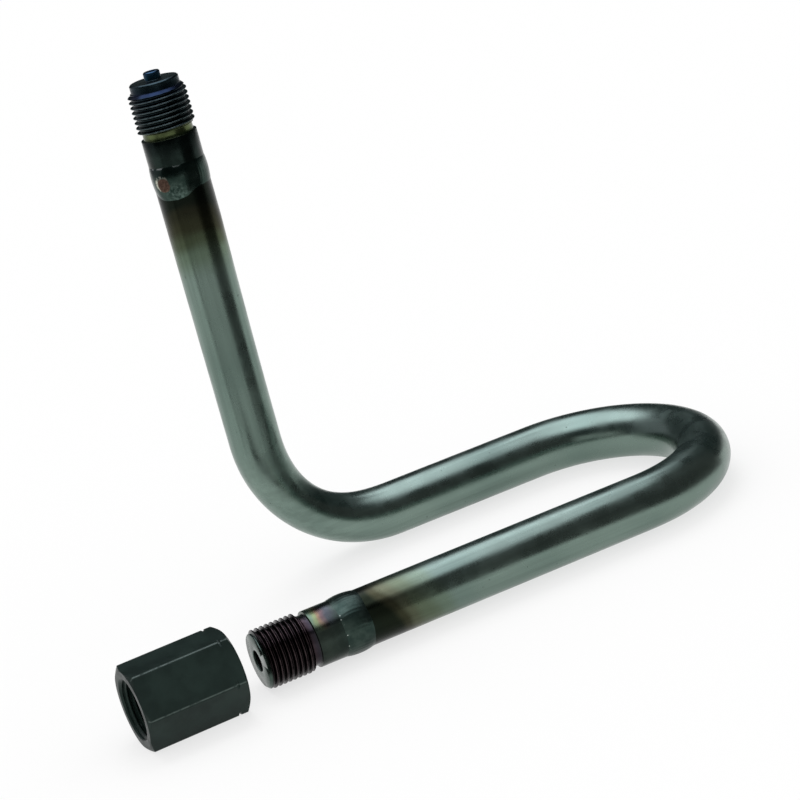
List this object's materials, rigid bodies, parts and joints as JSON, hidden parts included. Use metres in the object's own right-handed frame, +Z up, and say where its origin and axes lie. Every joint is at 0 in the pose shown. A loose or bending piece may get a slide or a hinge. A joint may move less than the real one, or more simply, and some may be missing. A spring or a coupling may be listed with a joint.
{
  "type": "pressure gauge siphon",
  "caption": "Steel U-form pressure gauge siphon: a bent tube with a welded threaded stud at each end, shown with its hexagonal left-right adjusting sleeve taken off.",
  "frame": {"origin": "middle of the whole part's bounding box, on the table that the flat leg and the sleeve lie on", "axes": "+Z up along the process leg, +X from the sleeve and gauge stud towards the U-bend, +Y from the gauge leg towards the process leg"},
  "size_m": [0.2504, 0.1192, 0.1944],
  "materials": {
    "tube_steel": "satin mill finish with heat tint near the welds",
    "process_stud_steel": "heat-blackened, turned",
    "gauge_stud_steel": "turned, heat-tinted",
    "weld_metal": "as welded",
    "sleeve_steel": "dark matt drawn hexagon"
  },
  "bodies": {
    "root": {"siphon_tube": "tube_steel", "process_stud": "process_stud_steel", "gauge_stud": "gauge_stud_steel", "process_weld": "weld_metal", "gauge_weld": "weld_metal", "adjusting_sleeve": "sleeve_steel"}
  },
  "joints": []
}
